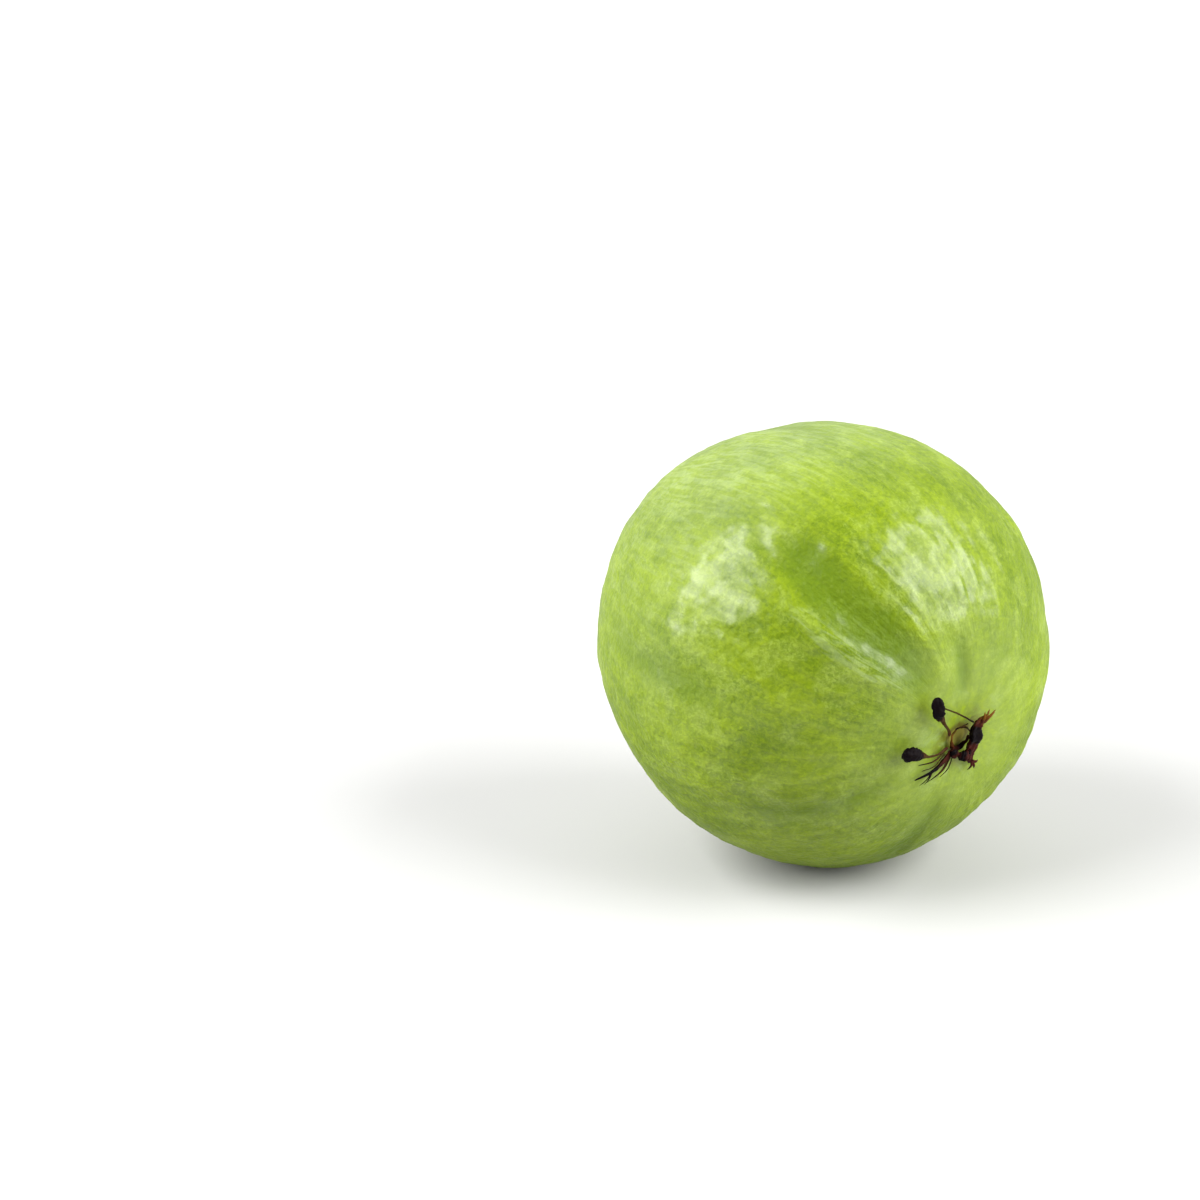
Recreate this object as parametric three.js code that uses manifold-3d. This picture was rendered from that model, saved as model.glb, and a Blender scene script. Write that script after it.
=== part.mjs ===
// A whole guava lying on its side, with the dried remains of its flower at the blossom end and a cut stub
// of its stalk at the stem end. Millimetres, +Z up. The origin is on the flat spot that the fruit rests on,
// straight under its heart. The fruit's axis lies in the plane of Y and Z, and its blossom end points along
// -Y and a little down.
import * as THREE from 'three';
import { mergeVertices } from 'three/addons/utils/BufferGeometryUtils.js';
import Module from 'manifold-3d';

// ---- Driving dimensions, in millimetres and degrees ----

const GIRTH_RADIUS = 42.5;    // half the width of the fruit, square to its axis
const BLOSSOM_REACH = 40.8;   // from the heart of the fruit to the blossom end, without its hollow
const STEM_REACH = 45.1;      // from the heart to the stem end, without its hollow
const SHOULDER = 1.25;        // how far the blossom half swells out, and the stem half draws in
const BLOSSOM_HOLLOW_DEPTH = 2.0;
const BLOSSOM_HOLLOW_WIDTH = 8.0;
const STEM_HOLLOW_DEPTH = 3.6;
const STEM_HOLLOW_WIDTH = 8.0;
const DROOP = 9;              // the blossom end points this far below level
const REST_DEPTH = 0.9;       // how far the rest spot is pressed in

const CLEARANCE = 0.3;        // between the skin, the cup and each dried piece

const CUP_RADIUS = 2.2;       // to the middle of the dried rim of the flower cup
const CUP_RIM = 0.45;         // half the thickness of that rim
const CUP_EDGE = CUP_RADIUS + CUP_RIM;

const STEM_FOOT = 2.4;        // radius of the stub's flared foot
const STEM_RADIUS = 1.9;
const STEM_LENGTH = 4.4;

// Broad lumps of the skin: how many waves go round, how high each is, and the angle of a crest.
const LUMPS = [
  { waves: 2, height: 0.90, crest: 141 },
  { waves: 3, height: 0.40, crest: 79 },
  { waves: 5, height: 0.20, crest: 55 },
  { waves: 9, height: 0.12, crest: 30 },
];

// How finely each piece is divided.
const SKIN_SIDES = 60;
const SKIN_RINGS = 40;
const DRIED_SIDES = 10;
const THREAD_SIDES = 6;
const RINGS_PER_STOP = 4;
const RIM_SIDES = 10;
const RIM_STEPS = 28;
const STEM_SIDES = 20;
const TIP = 0.02;             // share of a dried piece's length that closes each end

// ---- Skin, in the fruit's own frame: heart at the origin, +Z towards the blossom end ----

const SHOULDER_PEAK = 1.5 * Math.sqrt(3);   // makes the largest value of c - c^3 equal to one

function hollow(distance, depth, width) {
  return depth * Math.exp(-((distance / width) ** 2));
}

// Distance from the heart to the skin, at an angle from the blossom end and an angle around the axis.
function skinReach(fromBlossom, around) {
  const c = Math.cos(fromBlossom);
  const s = Math.sin(fromBlossom);
  const towardsBlossom = (BLOSSOM_REACH - GIRTH_RADIUS) * c * c * (1 + c) / 2;
  const towardsStem = (STEM_REACH - GIRTH_RADIUS) * c * c * (1 - c) / 2;
  const shoulder = SHOULDER * SHOULDER_PEAK * (c - c ** 3);
  const fromStem = Math.PI - fromBlossom;
  const blossomHollow = hollow(fromBlossom * BLOSSOM_REACH, BLOSSOM_HOLLOW_DEPTH, BLOSSOM_HOLLOW_WIDTH);
  const stemHollow = hollow(fromStem * STEM_REACH, STEM_HOLLOW_DEPTH, STEM_HOLLOW_WIDTH);
  let lump = 0;
  for (const { waves, height, crest } of LUMPS) {
    lump += height * s * s * Math.cos(waves * (around - THREE.MathUtils.degToRad(crest)));
  }
  return GIRTH_RADIUS + towardsBlossom + towardsStem + shoulder - blossomHollow - stemHollow + lump;
}

// A point above the skin of the blossom end: how far out from the axis along the skin, the angle around it
// in degrees, and the height above the skin.
function aboveBlossom(out, aroundDegrees, height) {
  const fromBlossom = out / BLOSSOM_REACH;
  const around = THREE.MathUtils.degToRad(aroundDegrees);
  const direction = new THREE.Vector3(
    Math.sin(fromBlossom) * Math.cos(around),
    Math.sin(fromBlossom) * Math.sin(around),
    Math.cos(fromBlossom),
  );
  return direction.multiplyScalar(skinReach(fromBlossom, around) + height);
}

// ---- Solids: joining and cutting ----

const wasm = await Module();
wasm.setup();

function toSolid(geometry) {
  const bare = geometry.index ? geometry.toNonIndexed() : geometry.clone();
  bare.deleteAttribute('normal');
  bare.deleteAttribute('uv');
  const merged = mergeVertices(bare, 1e-4);
  return new wasm.Manifold(new wasm.Mesh({
    numProp: 3,
    vertProperties: merged.attributes.position.array,
    triVerts: new Uint32Array(merged.index.array),
  }));
}

function toGeometry(solid) {
  const mesh = solid.getMesh();
  const geometry = new THREE.BufferGeometry();
  geometry.setAttribute('position', new THREE.BufferAttribute(mesh.vertProperties, 3));
  geometry.setIndex(new THREE.BufferAttribute(mesh.triVerts, 1));
  return geometry;
}

// ---- The fruit ----

const LEAN = Math.PI / 2 + THREE.MathUtils.degToRad(DROOP);   // turns the fruit's axis from upright to lying

// A ball whose points are moved out to the skin, turned to lie on its side.
function skinGeometry() {
  const ball = new THREE.SphereGeometry(1, SKIN_SIDES, SKIN_RINGS);
  ball.rotateX(Math.PI / 2);
  const points = ball.attributes.position;
  const point = new THREE.Vector3();
  for (let i = 0; i < points.count; i++) {
    point.fromBufferAttribute(points, i).normalize();
    const fromBlossom = Math.acos(THREE.MathUtils.clamp(point.z, -1, 1));
    const around = Math.atan2(point.y, point.x);
    point.multiplyScalar(skinReach(fromBlossom, around));
    points.setXYZ(i, point.x, point.y, point.z);
  }
  return ball.rotateX(LEAN);
}

const skin = skinGeometry();
skin.computeBoundingBox();
const floorLevel = skin.boundingBox.min.z + REST_DEPTH;   // seen from the heart

function fruitGeometry() {
  const size = 4 * GIRTH_RADIUS;
  const belowFloor = new THREE.BoxGeometry(size, size, size);
  belowFloor.translate(0, 0, floorLevel - size / 2);
  return toGeometry(toSolid(skin).subtract(toSolid(belowFloor)));
}

// ---- Dried pieces of the flower ----

// A closed piece of oval section along a smooth path. Each stop of the path gives how far it lies from the
// edge of the cup, the angle around, how far it rises clear of the skin, and its half-width there.
// `flatness` is its thickness over its width.
function driedGeometry(stops, flatness, sides) {
  const path = new THREE.CatmullRomCurve3(stops.map(({ out, around, rise, half }) => (
    aboveBlossom(CUP_EDGE + CLEARANCE + out, around, CLEARANCE + flatness * half + rise)
  )));
  const spans = stops.length - 1;
  const widths = new THREE.SplineCurve(stops.map(({ half }, i) => new THREE.Vector2(i / spans, half)));
  const rings = RINGS_PER_STOP * spans;
  const profile = [new THREE.Vector2(0, 0)];
  for (let i = 0; i <= rings; i++) {
    const along = TIP + (1 - 2 * TIP) * i / rings;
    profile.push(new THREE.Vector2(widths.getPoint(along).y, along));
  }
  profile.push(new THREE.Vector2(0, 1));

  const piece = new THREE.LatheGeometry(profile, sides);
  const points = piece.attributes.position;
  const local = new THREE.Vector3();
  for (let i = 0; i < points.count; i++) {
    local.fromBufferAttribute(points, i);
    const centre = path.getPoint(local.y);
    const ahead = path.getTangent(local.y);
    const side = new THREE.Vector3().crossVectors(ahead, centre).normalize();
    const up = new THREE.Vector3().crossVectors(side, ahead);
    centre.addScaledVector(side, local.x).addScaledVector(up, local.z * flatness);
    points.setXYZ(i, centre.x, centre.y, centre.z);
  }
  return piece;
}

const SEPALS = {
  sepal_upper: [
    { out: 0.2, around: 146, rise: 0.2, half: 0.60 },
    { out: 2.8, around: 141, rise: 0.9, half: 0.42 },
    { out: 5.8, around: 138, rise: 1.4, half: 0.50 },
    { out: 8.8, around: 134, rise: 1.5, half: 1.35 },
    { out: 11.6, around: 130, rise: 1.4, half: 0.90 },
  ],
  sepal_left: [
    { out: 0.2, around: 198, rise: 0.2, half: 0.55 },
    { out: 3.0, around: 188, rise: 0.8, half: 0.38 },
    { out: 6.4, around: 178, rise: 1.1, half: 0.55 },
    { out: 9.4, around: 172, rise: 1.0, half: 1.40 },
    { out: 12.2, around: 170, rise: 0.8, half: 0.80 },
  ],
  sepal_right: [
    { out: 4.6, around: 302, rise: 0.3, half: 0.60 },
    { out: 1.7, around: 318, rise: 0.9, half: 1.25 },
    { out: 0.0, around: 352, rise: 1.5, half: 1.45 },
    { out: 0.4, around: 34, rise: 1.7, half: 1.25 },
    { out: 3.6, around: 50, rise: 1.9, half: 0.60 },
  ],
  sepal_lower: [
    { out: 0.4, around: 224, rise: 0.2, half: 0.70 },
    { out: 3.2, around: 220, rise: 0.6, half: 0.60 },
    { out: 6.0, around: 215, rise: 0.6, half: 0.48 },
    { out: 8.8, around: 211, rise: 0.3, half: 0.25 },
  ],
};
const SEPAL_FLATNESS = 0.6;

const STYLE_REMNANT = [
  { out: -0.2, around: 246, rise: 1.3, half: 0.60 },
  { out: -0.1, around: 268, rise: 1.5, half: 1.00 },
  { out: 0.5, around: 290, rise: 1.3, half: 0.60 },
];
const STYLE_FLATNESS = 0.8;

const FILAMENTS = {
  filament_upper: [
    { out: 7.6, around: 121, rise: 0.9, half: 0.17 },
    { out: 3.8, around: 108, rise: 1.3, half: 0.18 },
    { out: 0.3, around: 82, rise: 0.6, half: 0.18 },
  ],
  filament_left: [
    { out: 1.4, around: 208, rise: 0.3, half: 0.17 },
    { out: 4.2, around: 202, rise: 0.7, half: 0.17 },
    { out: 7.4, around: 196, rise: 0.3, half: 0.15 },
  ],
  filament_lower: [
    { out: 0.3, around: 243, rise: 0.3, half: 0.17 },
    { out: 3.6, around: 236, rise: 0.6, half: 0.17 },
    { out: 6.4, around: 229, rise: 0.3, half: 0.15 },
  ],
};

// The dried rim of the cup is a ring that stands clear of the skin under its outer edge.
function cupGeometry() {
  const ring = new THREE.TorusGeometry(CUP_RADIUS, CUP_RIM, RIM_SIDES, RIM_STEPS);
  const seat = aboveBlossom(CUP_EDGE, 0, CLEARANCE + CUP_RIM).z;
  return ring.translate(0, 0, seat);
}

// ---- The stub of the stalk ----

// A short stalk with a flared foot and a square cut end. It stands in the hollow of the stem end and
// points along -Z.
function stemGeometry() {
  const profile = [
    new THREE.Vector2(0, 0),
    new THREE.Vector2(0.9 * STEM_FOOT, 0),
    new THREE.Vector2(STEM_FOOT, 0.12 * STEM_LENGTH),
    new THREE.Vector2(STEM_RADIUS, 0.4 * STEM_LENGTH),
    new THREE.Vector2(0.95 * STEM_RADIUS, 0.9 * STEM_LENGTH),
    new THREE.Vector2(0.85 * STEM_RADIUS, STEM_LENGTH),
    new THREE.Vector2(0, STEM_LENGTH),
  ];
  const footAngle = STEM_FOOT / STEM_REACH;
  const seat = skinReach(Math.PI - footAngle, 0) * Math.cos(footAngle) + CLEARANCE;
  const stub = new THREE.LatheGeometry(profile, STEM_SIDES);
  return stub.rotateX(-Math.PI / 2).translate(0, 0, -seat);
}

// ---- Materials ----

const finishes = {
  skin: new THREE.MeshStandardMaterial({ color: 0xa2c043, roughness: 0.4, metalness: 0 }),
  driedSepal: new THREE.MeshStandardMaterial({ color: 0x2a1712, roughness: 0.75, metalness: 0 }),
  driedThread: new THREE.MeshStandardMaterial({ color: 0x4a3020, roughness: 0.8, metalness: 0 }),
  stalk: new THREE.MeshStandardMaterial({ color: 0x6e5a38, roughness: 0.85, metalness: 0 }),
};

// ---- Assembly ----

function named(name, geometry, finish) {
  const mesh = new THREE.Mesh(geometry, finish.clone());
  mesh.name = name;
  return mesh;
}

const guava = new THREE.Group();
guava.position.z = -floorLevel;                               // stands the rest spot on the floor
guava.add(named('fruit', fruitGeometry(), finishes.skin));

const alongAxis = new THREE.Group();
alongAxis.rotation.x = LEAN;
guava.add(alongAxis);

alongAxis.add(named('calyx_ring', cupGeometry(), finishes.driedSepal));
for (const [name, stops] of Object.entries(SEPALS)) {
  alongAxis.add(named(name, driedGeometry(stops, SEPAL_FLATNESS, DRIED_SIDES), finishes.driedSepal));
}
const styleRemnant = driedGeometry(STYLE_REMNANT, STYLE_FLATNESS, DRIED_SIDES);
alongAxis.add(named('style_remnant', styleRemnant, finishes.driedSepal));
for (const [name, stops] of Object.entries(FILAMENTS)) {
  alongAxis.add(named(name, driedGeometry(stops, 1, THREAD_SIDES), finishes.driedThread));
}
alongAxis.add(named('stem_stub', stemGeometry(), finishes.stalk));

const part = new THREE.Group();
part.add(guava);
export default part;
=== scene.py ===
# %% [markdown]
# # A whole guava, lying on its side
#
# This lesson builds the look of one ripe green guava around a plain model that already has the right
# size. The plain model is the frame: a smooth fruit, the dried rim of its flower, four dried sepals, a
# dried lump, a few threads and a cut stub of stalk. Each of them gets a finer piece here, in the same
# place, in metres. A guava reads as real through three things: low lengthwise ridges, a wrinkled waxy
# skin that breaks up the light, and the black, shrivelled remains of the flower. Each has its own steps
# below.

# %% Load the frame
import math

import bpy
import numpy as np
from mathutils import Matrix, Vector, noise


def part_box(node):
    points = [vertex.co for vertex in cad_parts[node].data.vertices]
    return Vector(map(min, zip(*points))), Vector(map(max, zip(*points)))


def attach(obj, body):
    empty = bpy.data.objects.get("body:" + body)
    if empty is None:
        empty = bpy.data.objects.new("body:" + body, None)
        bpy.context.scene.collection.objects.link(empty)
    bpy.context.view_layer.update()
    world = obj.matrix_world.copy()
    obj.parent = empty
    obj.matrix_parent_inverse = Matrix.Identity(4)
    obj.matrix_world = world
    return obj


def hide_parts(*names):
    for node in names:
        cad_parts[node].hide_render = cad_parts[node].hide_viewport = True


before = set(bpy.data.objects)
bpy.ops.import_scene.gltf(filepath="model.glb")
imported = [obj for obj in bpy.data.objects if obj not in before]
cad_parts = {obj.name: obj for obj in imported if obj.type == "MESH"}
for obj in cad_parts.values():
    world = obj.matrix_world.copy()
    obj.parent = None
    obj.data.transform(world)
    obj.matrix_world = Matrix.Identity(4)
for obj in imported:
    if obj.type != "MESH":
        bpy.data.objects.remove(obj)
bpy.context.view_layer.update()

MM = 0.001
print("nodes in the frame:", ", ".join(sorted(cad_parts)))

# %% [markdown]
# ## The form of the fruit
#
# A guava is nearly a ball, a little fuller at the blossom end and a little drawn in towards the stem. A
# ball with a varying radius says this best: for every direction from the heart of the fruit, one formula
# gives the distance to the skin. It adds up the two ends, the shoulder, the hollow at each end and a few
# broad lumps that go round the fruit. It is the formula of the plain model, so the two skins lie on each
# other. The wrinkles come later, on top of it.

# %% Distance from the heart to the smooth skin
GIRTH_RADIUS = 42.5 * MM
BLOSSOM_REACH = 40.8 * MM
STEM_REACH = 45.1 * MM
SHOULDER = 1.25 * MM                     # how far the blossom half swells out, and the stem half draws in
SHOULDER_PEAK = 1.5 * math.sqrt(3)       # makes the largest value of x - x ** 3 equal to one
BLOSSOM_HOLLOW = (2.0 * MM, 8.0 * MM)    # depth and width
STEM_HOLLOW = (3.6 * MM, 8.0 * MM)
LUMPS = [                                # waves round the fruit, height, and where one crest lies
    (2, 0.90 * MM, math.radians(141)),
    (3, 0.40 * MM, math.radians(79)),
    (5, 0.20 * MM, math.radians(55)),
    (9, 0.12 * MM, math.radians(30)),
]


def skin_reach(from_blossom, around):
    """Distance for angles in radians, single ones or whole arrays of them."""
    axial = np.cos(from_blossom)
    radial = np.sin(from_blossom)
    reach = GIRTH_RADIUS + SHOULDER * SHOULDER_PEAK * (axial - axial ** 3)
    reach = reach + (BLOSSOM_REACH - GIRTH_RADIUS) * axial * axial * (1 + axial) / 2
    reach = reach + (STEM_REACH - GIRTH_RADIUS) * axial * axial * (1 - axial) / 2
    for arc, (depth, width) in (
        (from_blossom * BLOSSOM_REACH, BLOSSOM_HOLLOW),
        ((math.pi - from_blossom) * STEM_REACH, STEM_HOLLOW),
    ):
        reach = reach - depth * np.exp(-((arc / width) ** 2))
    for waves, height, crest in LUMPS:
        reach = reach + height * radial * radial * np.cos(waves * (around - crest))
    return reach


def direction(from_blossom, around):
    return np.stack([
        np.sin(from_blossom) * np.cos(around),
        np.sin(from_blossom) * np.sin(around),
        np.cos(from_blossom) + 0 * around,
    ], -1)


print(f"smooth skin {skin_reach(math.pi / 2, 0.0) / MM:.2f} mm from the heart at the girth")

# %% [markdown]
# ## Where the fruit lies
#
# The fruit's own frame has its axis upright, with the blossom end on top. The lying fruit has its blossom
# end along -Y and a little down, so one turn about X takes the one to the other. The heart lies straight
# above the origin, and its height follows from the top of the plain fruit.

# %% Heart and lean
DROOP = math.radians(9)
LEAN = np.array(Matrix.Rotation(math.pi / 2 + DROOP, 3, "X"))


def top_above_heart():
    from_blossom, around = np.meshgrid(np.linspace(0, math.pi, 361), np.linspace(0, 2 * math.pi, 361))
    skin = direction(from_blossom, around) * skin_reach(from_blossom, around)[..., None]
    return (skin @ LEAN.T)[..., 2].max()


HEART = np.array([0, 0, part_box("fruit")[1].z - top_above_heart()])


def lying(points):
    """Points of the upright fruit's own frame, moved to where they lie."""
    return HEART + np.asarray(points) @ LEAN.T


print(f"heart {HEART[2] / MM:.2f} mm above the floor")

# %% [markdown]
# ## The camera
#
# The camera looks at the blossom end from its left and a little above, through a long lens that keeps the
# fruit round. It is turned a little aside, as when one fruit of a group is looked at, so the guava stands
# right of the middle. The camera comes early because every later step is judged through it.

# %% Camera
CAMERA_AZIMUTH = math.radians(-40.9)
CAMERA_ELEVATION = math.radians(22)
CAMERA_DISTANCE = 0.6327
CAMERA_PAN = math.radians(-36.82)
CAMERA_TILT = math.radians(21.35)


def on_a_globe(azimuth, elevation):
    """Unit vector: azimuth 0 is along -Y, and a quarter turn is along +X."""
    level = math.cos(elevation)
    return np.array([math.sin(azimuth) * level, -math.cos(azimuth) * level, math.sin(elevation)])


camera_data = bpy.data.cameras.new("camera")
camera_data.lens = 100
camera_data.sensor_width = 36
camera_data.clip_start = 0.01
camera = bpy.data.objects.new("camera", camera_data)
camera.location = HEART + CAMERA_DISTANCE * on_a_globe(CAMERA_AZIMUTH, CAMERA_ELEVATION)
camera.rotation_euler = (math.pi / 2 - CAMERA_TILT, 0, CAMERA_PAN)
bpy.context.collection.objects.link(camera)
bpy.context.scene.camera = camera
print("camera at", [round(v, 3) for v in camera.location])

# %% [markdown]
# ## An even ball of faces
#
# A UV sphere crowds its faces at the two ends, where a guava has its hollows and creases, and an
# icosphere has no simple flat layout. A cube whose faces are divided into a fine grid and then pushed out
# to a ball has nearly even squares everywhere, and its six sides lie side by side in a flat map, which a
# later bake of the skin needs. The tangent of the grid step keeps the squares even near the cube's
# corners.

# %% The ball
GRID = 128               # squares along one side of the cube
SIDES = [                # outward, then the two directions along the side
    ((1, 0, 0), (0, 1, 0), (0, 0, 1)),
    ((-1, 0, 0), (0, -1, 0), (0, 0, 1)),
    ((0, 1, 0), (-1, 0, 0), (0, 0, 1)),
    ((0, -1, 0), (1, 0, 0), (0, 0, 1)),
    ((0, 0, 1), (0, 1, 0), (-1, 0, 0)),
    ((0, 0, -1), (0, 1, 0), (1, 0, 0)),
]
MAP_GAP = 0.004          # empty border round each side in the flat map


def cell_corners(grid):
    """The four corners of each cell of a grid, in turn."""
    near, far = slice(None, -1), slice(1, None)
    return np.stack([grid[near, near], grid[far, near], grid[far, far], grid[near, far]], 2)


def cube_ball():
    """Directions of the points, the quads, and where each corner of each quad lies in the flat map."""
    steps = np.tan(np.linspace(-math.pi / 4, math.pi / 4, GRID + 1))[:, None, None]
    even_steps = MAP_GAP + np.linspace(0, 1, GRID + 1) * (1 - 2 * MAP_GAP)
    points, quads, flats = [], [], []
    for side, (out, across, up) in enumerate(np.array(SIDES, dtype=float)):
        points.append((out + steps * across + steps.transpose(1, 0, 2) * up).reshape(-1, 3))
        numbers = np.arange((GRID + 1) ** 2).reshape(GRID + 1, GRID + 1) + side * (GRID + 1) ** 2
        quads.append(cell_corners(numbers).reshape(-1, 4))
        columns = (side % 3 + even_steps) / 3
        rows = (side // 3 + even_steps) / 2
        flat = np.stack(np.meshgrid(columns, rows, indexing="ij"), -1)
        flats.append(cell_corners(flat).reshape(-1, 2))
    points = np.concatenate(points)
    points /= np.linalg.norm(points, axis=1, keepdims=True)
    _, first, same = np.unique(np.round(points, 6), axis=0, return_index=True, return_inverse=True)
    return points[first], same.reshape(-1)[np.concatenate(quads)], np.concatenate(flats)


ball_points, ball_quads, ball_map = cube_ball()
from_blossom = np.arccos(np.clip(ball_points[:, 2], -1, 1))
around = np.arctan2(ball_points[:, 1], ball_points[:, 0])
degrees_out = np.degrees(from_blossom)
print(len(ball_points), "points and", len(ball_quads), "quads")

# %% [markdown]
# ## Noise and grooves over the fruit
#
# The relief of a guava's skin runs lengthwise, from the blossom end to the stem end. Noise that is read
# in stretched coordinates follows this: a step around the fruit changes it more than a step along. The
# furrows that give this fruit its character could come from noise too, but then they would lie anywhere.
# So they are placed one by one, each as a soft groove along part of one meridian, and one fold is raised
# instead of sunk.

# %% Noise that runs lengthwise, and grooves
FURROWS = [   # around, start and end from the blossom end in degrees, then width and depth in mm
    (129, 20, 76, 3.2, 0.95),
    (95, 12, 30, 2.3, 0.55),
    (60, 14, 34, 1.8, 0.30),
    (40, 12, 30, 1.4, 0.22),
    (205, 16, 60, 3.0, 0.40),
    (262, 14, 50, 2.8, 0.45),
    (318, 34, 72, 3.4, 0.20),
    (350, 22, 75, 3.4, 0.30),
    (20, 40, 95, 3.8, 0.40),
    (172, 60, 120, 4.0, 0.40),
    (90, 90, 160, 3.8, 0.40),
    (230, 90, 160, 3.6, 0.45),
    (325, 100, 165, 3.4, 0.40),
]
WAXY_RIDGE = (138, 24, 64, 2.4, -0.45)         # the raised fold beside the deepest furrow
MEANDER = 0.12                                 # radians that a ridge or furrow wanders aside
SEED_STEP = np.array([17.3, 5.1, 9.7])         # how far apart two seeds read the same noise


def lengthwise(round_cell, along_cell, bend=0.0):
    """Noise coordinates in which one cell takes so many millimetres round the girth, and along."""
    turn = GIRTH_RADIUS / (round_cell * MM)
    length = GIRTH_RADIUS / (along_cell * MM)
    return np.stack([turn * np.cos(around + bend), turn * np.sin(around + bend), length * from_blossom], -1)


def even(cell):
    """Noise coordinates in which one cell takes so many millimetres every way."""
    return ball_points * (GIRTH_RADIUS / (cell * MM))


def noise_at(coordinates, seed):
    """About -1 to 1. The seed moves the reading to another part of the same endless pattern."""
    moved = coordinates + SEED_STEP * seed
    return np.array([noise.noise(Vector(c)) for c in moved.tolist()])


def groove(meridian, start, end, width, depth, bend):
    """Height of a groove in millimetres, deepest half way along. A negative depth raises it."""
    apart = np.mod(around + bend - math.radians(meridian) + math.pi, 2 * math.pi) - math.pi
    aside = apart * np.sin(from_blossom) * GIRTH_RADIUS / (width * MM)
    along = (degrees_out - (start + end) / 2) / ((end - start) / 2)
    return -depth * np.exp(-aside ** 2) * np.clip(1 - np.abs(along) ** 3, 0, 1)


meander = MEANDER * noise_at(lengthwise(30, 34), 7)
furrows = sum(groove(*furrow, meander) for furrow in FURROWS)
waxy_ridge = groove(*WAXY_RIDGE, meander)
print("grooves placed by hand:", len(FURROWS))

# %% [markdown]
# ## Ridges, dents and wrinkles
#
# Five patterns go into the mesh, from broad to fine: low ridges a finger's width apart, shallow dents,
# the wrinkles of the skin, small puckers between them and a pebbled grain of about two millimetres.
# Anything finer is left to the finish. All five fade towards both ends, where the skin is drawn tight,
# the dents less than the rest. On the upper side the wrinkles lean over, as they do where one side of a
# fruit grew faster.

# %% Relief in millimetres
RIDGE_HEIGHT = 0.25
DENT_HEIGHT = 0.20
WRINKLE_HEIGHT = 0.13
PUCKER_HEIGHT = 0.12
GRAIN_HEIGHT = 0.09
SWIRL = 0.45             # radians that a wrinkle leans over for each radian along the fruit
SWIRL_SIDE = 1.2         # around, in radians, where the wrinkles lean most
# the middle of the pale bloom and of a painted sheen on the stem half
BLOOM_AND_SHEEN_SIDE = 1.75        # around, in radians, the middle of the pale bloom on the stem half


def smooth_step(values, low, high):
    share = np.clip((values - low) / (high - low), 0, 1)
    return share * share * (3 - 2 * share)


def near_side(side, sharpness):
    """1 at one angle around, and less and less away from it, with no seam on the far side."""
    return np.exp(sharpness * (np.cos(around - side) - 1))


open_skin = smooth_step(degrees_out, 12, 40) * smooth_step(180 - degrees_out, 8, 30)    # 0 at both ends
blossom_half = np.exp(-((from_blossom - 0.75) / 0.75) ** 2)
# where a pale sheen is painted with the bloom, on the upper side of the stem half
bloom_area = smooth_step(degrees_out, 66, 104) * near_side(BLOOM_AND_SHEEN_SIDE, 2.0)
swirl = meander - SWIRL * from_blossom * near_side(SWIRL_SIDE, 2.5)

ridges = RIDGE_HEIGHT * (0.6 + 0.6 * blossom_half) * noise_at(lengthwise(10, 38, meander), 1)
dents = DENT_HEIGHT * noise_at(even(7.5), 5)
wrinkles = WRINKLE_HEIGHT * (0.8 + 0.5 * blossom_half) * noise_at(lengthwise(3.0, 8, swirl), 2)
puckers = PUCKER_HEIGHT * noise_at(even(3.4), 8)
grain = GRAIN_HEIGHT * noise_at(even(2.1), 3)
relief = open_skin * (ridges + wrinkles + puckers + grain) + (0.35 + 0.65 * open_skin) * dents
relief = relief + furrows + waxy_ridge
print(f"relief from {relief.min():.2f} to {relief.max():.2f} mm")

# %% [markdown]
# ## The skin as one mesh
#
# The points are pushed out to the smooth skin plus the relief, and turned to lie down. Where the fruit
# rests, its weight has pressed a small flat spot: every point that would fall below the floor is set on
# it. A few patterns are kept on the points, so that the finish can paint shade into the dips and furrows
# and light on the tops, paint a sheen on the upper side of the stem half, run its streaks the same way as
# the wrinkles, and change near the flower.

# %% Build the fruit
def link_mesh(name, points, faces):
    mesh = bpy.data.meshes.new(name)
    mesh.from_pydata(np.asarray(points).tolist(), [], faces)
    mesh.shade_smooth()
    piece = bpy.data.objects.new(name, mesh)
    bpy.context.collection.objects.link(piece)
    return piece


def keep_on_points(piece, name, values):
    values = np.asarray(values, dtype=np.float32)
    kind, field = ("FLOAT", "value") if values.ndim == 1 else ("FLOAT_VECTOR", "vector")
    piece.data.attributes.new(name, kind, "POINT").data.foreach_set(field, values.ravel())


def stands_for(piece, slot, *nodes):
    """The piece moves with the one body and hides the plain nodes. The slot is not used."""
    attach(piece, "root")
    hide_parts(*nodes)


fruit_points = lying(ball_points * (skin_reach(from_blossom, around) + relief * MM)[:, None])
fruit_points[:, 2] = np.maximum(fruit_points[:, 2], 0)
fruit = link_mesh("guava_fruit", fruit_points, ball_quads.tolist())
fruit.data.uv_layers.new(name="OFBake").data.foreach_set("uv", ball_map.ravel())
for pattern, values in {
    "relief": relief,
    "lengthwise": lengthwise(1, 1, swirl),
    "from_blossom": from_blossom,
    "open_skin": open_skin,
    "furrows": furrows,
    "waxy_ridge": waxy_ridge,
    "bloom_area": bloom_area,
    "evenly": even(1),
}.items():
    keep_on_points(fruit, pattern, values)
stands_for(fruit, "skin", "fruit")
print("fruit spans", [round(v / MM, 1) for v in fruit.dimensions], "mm")

# %% [markdown]
# ## Wires: shader maths as expressions
#
# A finish is a graph of nodes, and most of it is arithmetic. One small class wraps a socket, so that an
# expression such as `1 - mask * 0.5` adds the Math nodes by itself. Any other node comes from one method
# that takes its type, its settings and its inputs. Colours go through a Mix node, because a Math node
# would turn them grey.

# %% The wire
MIX_FACTOR, MIX_FIRST, MIX_SECOND, MIX_RESULT = 0, 6, 7, 2      # the colour sockets of a Mix node


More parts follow.
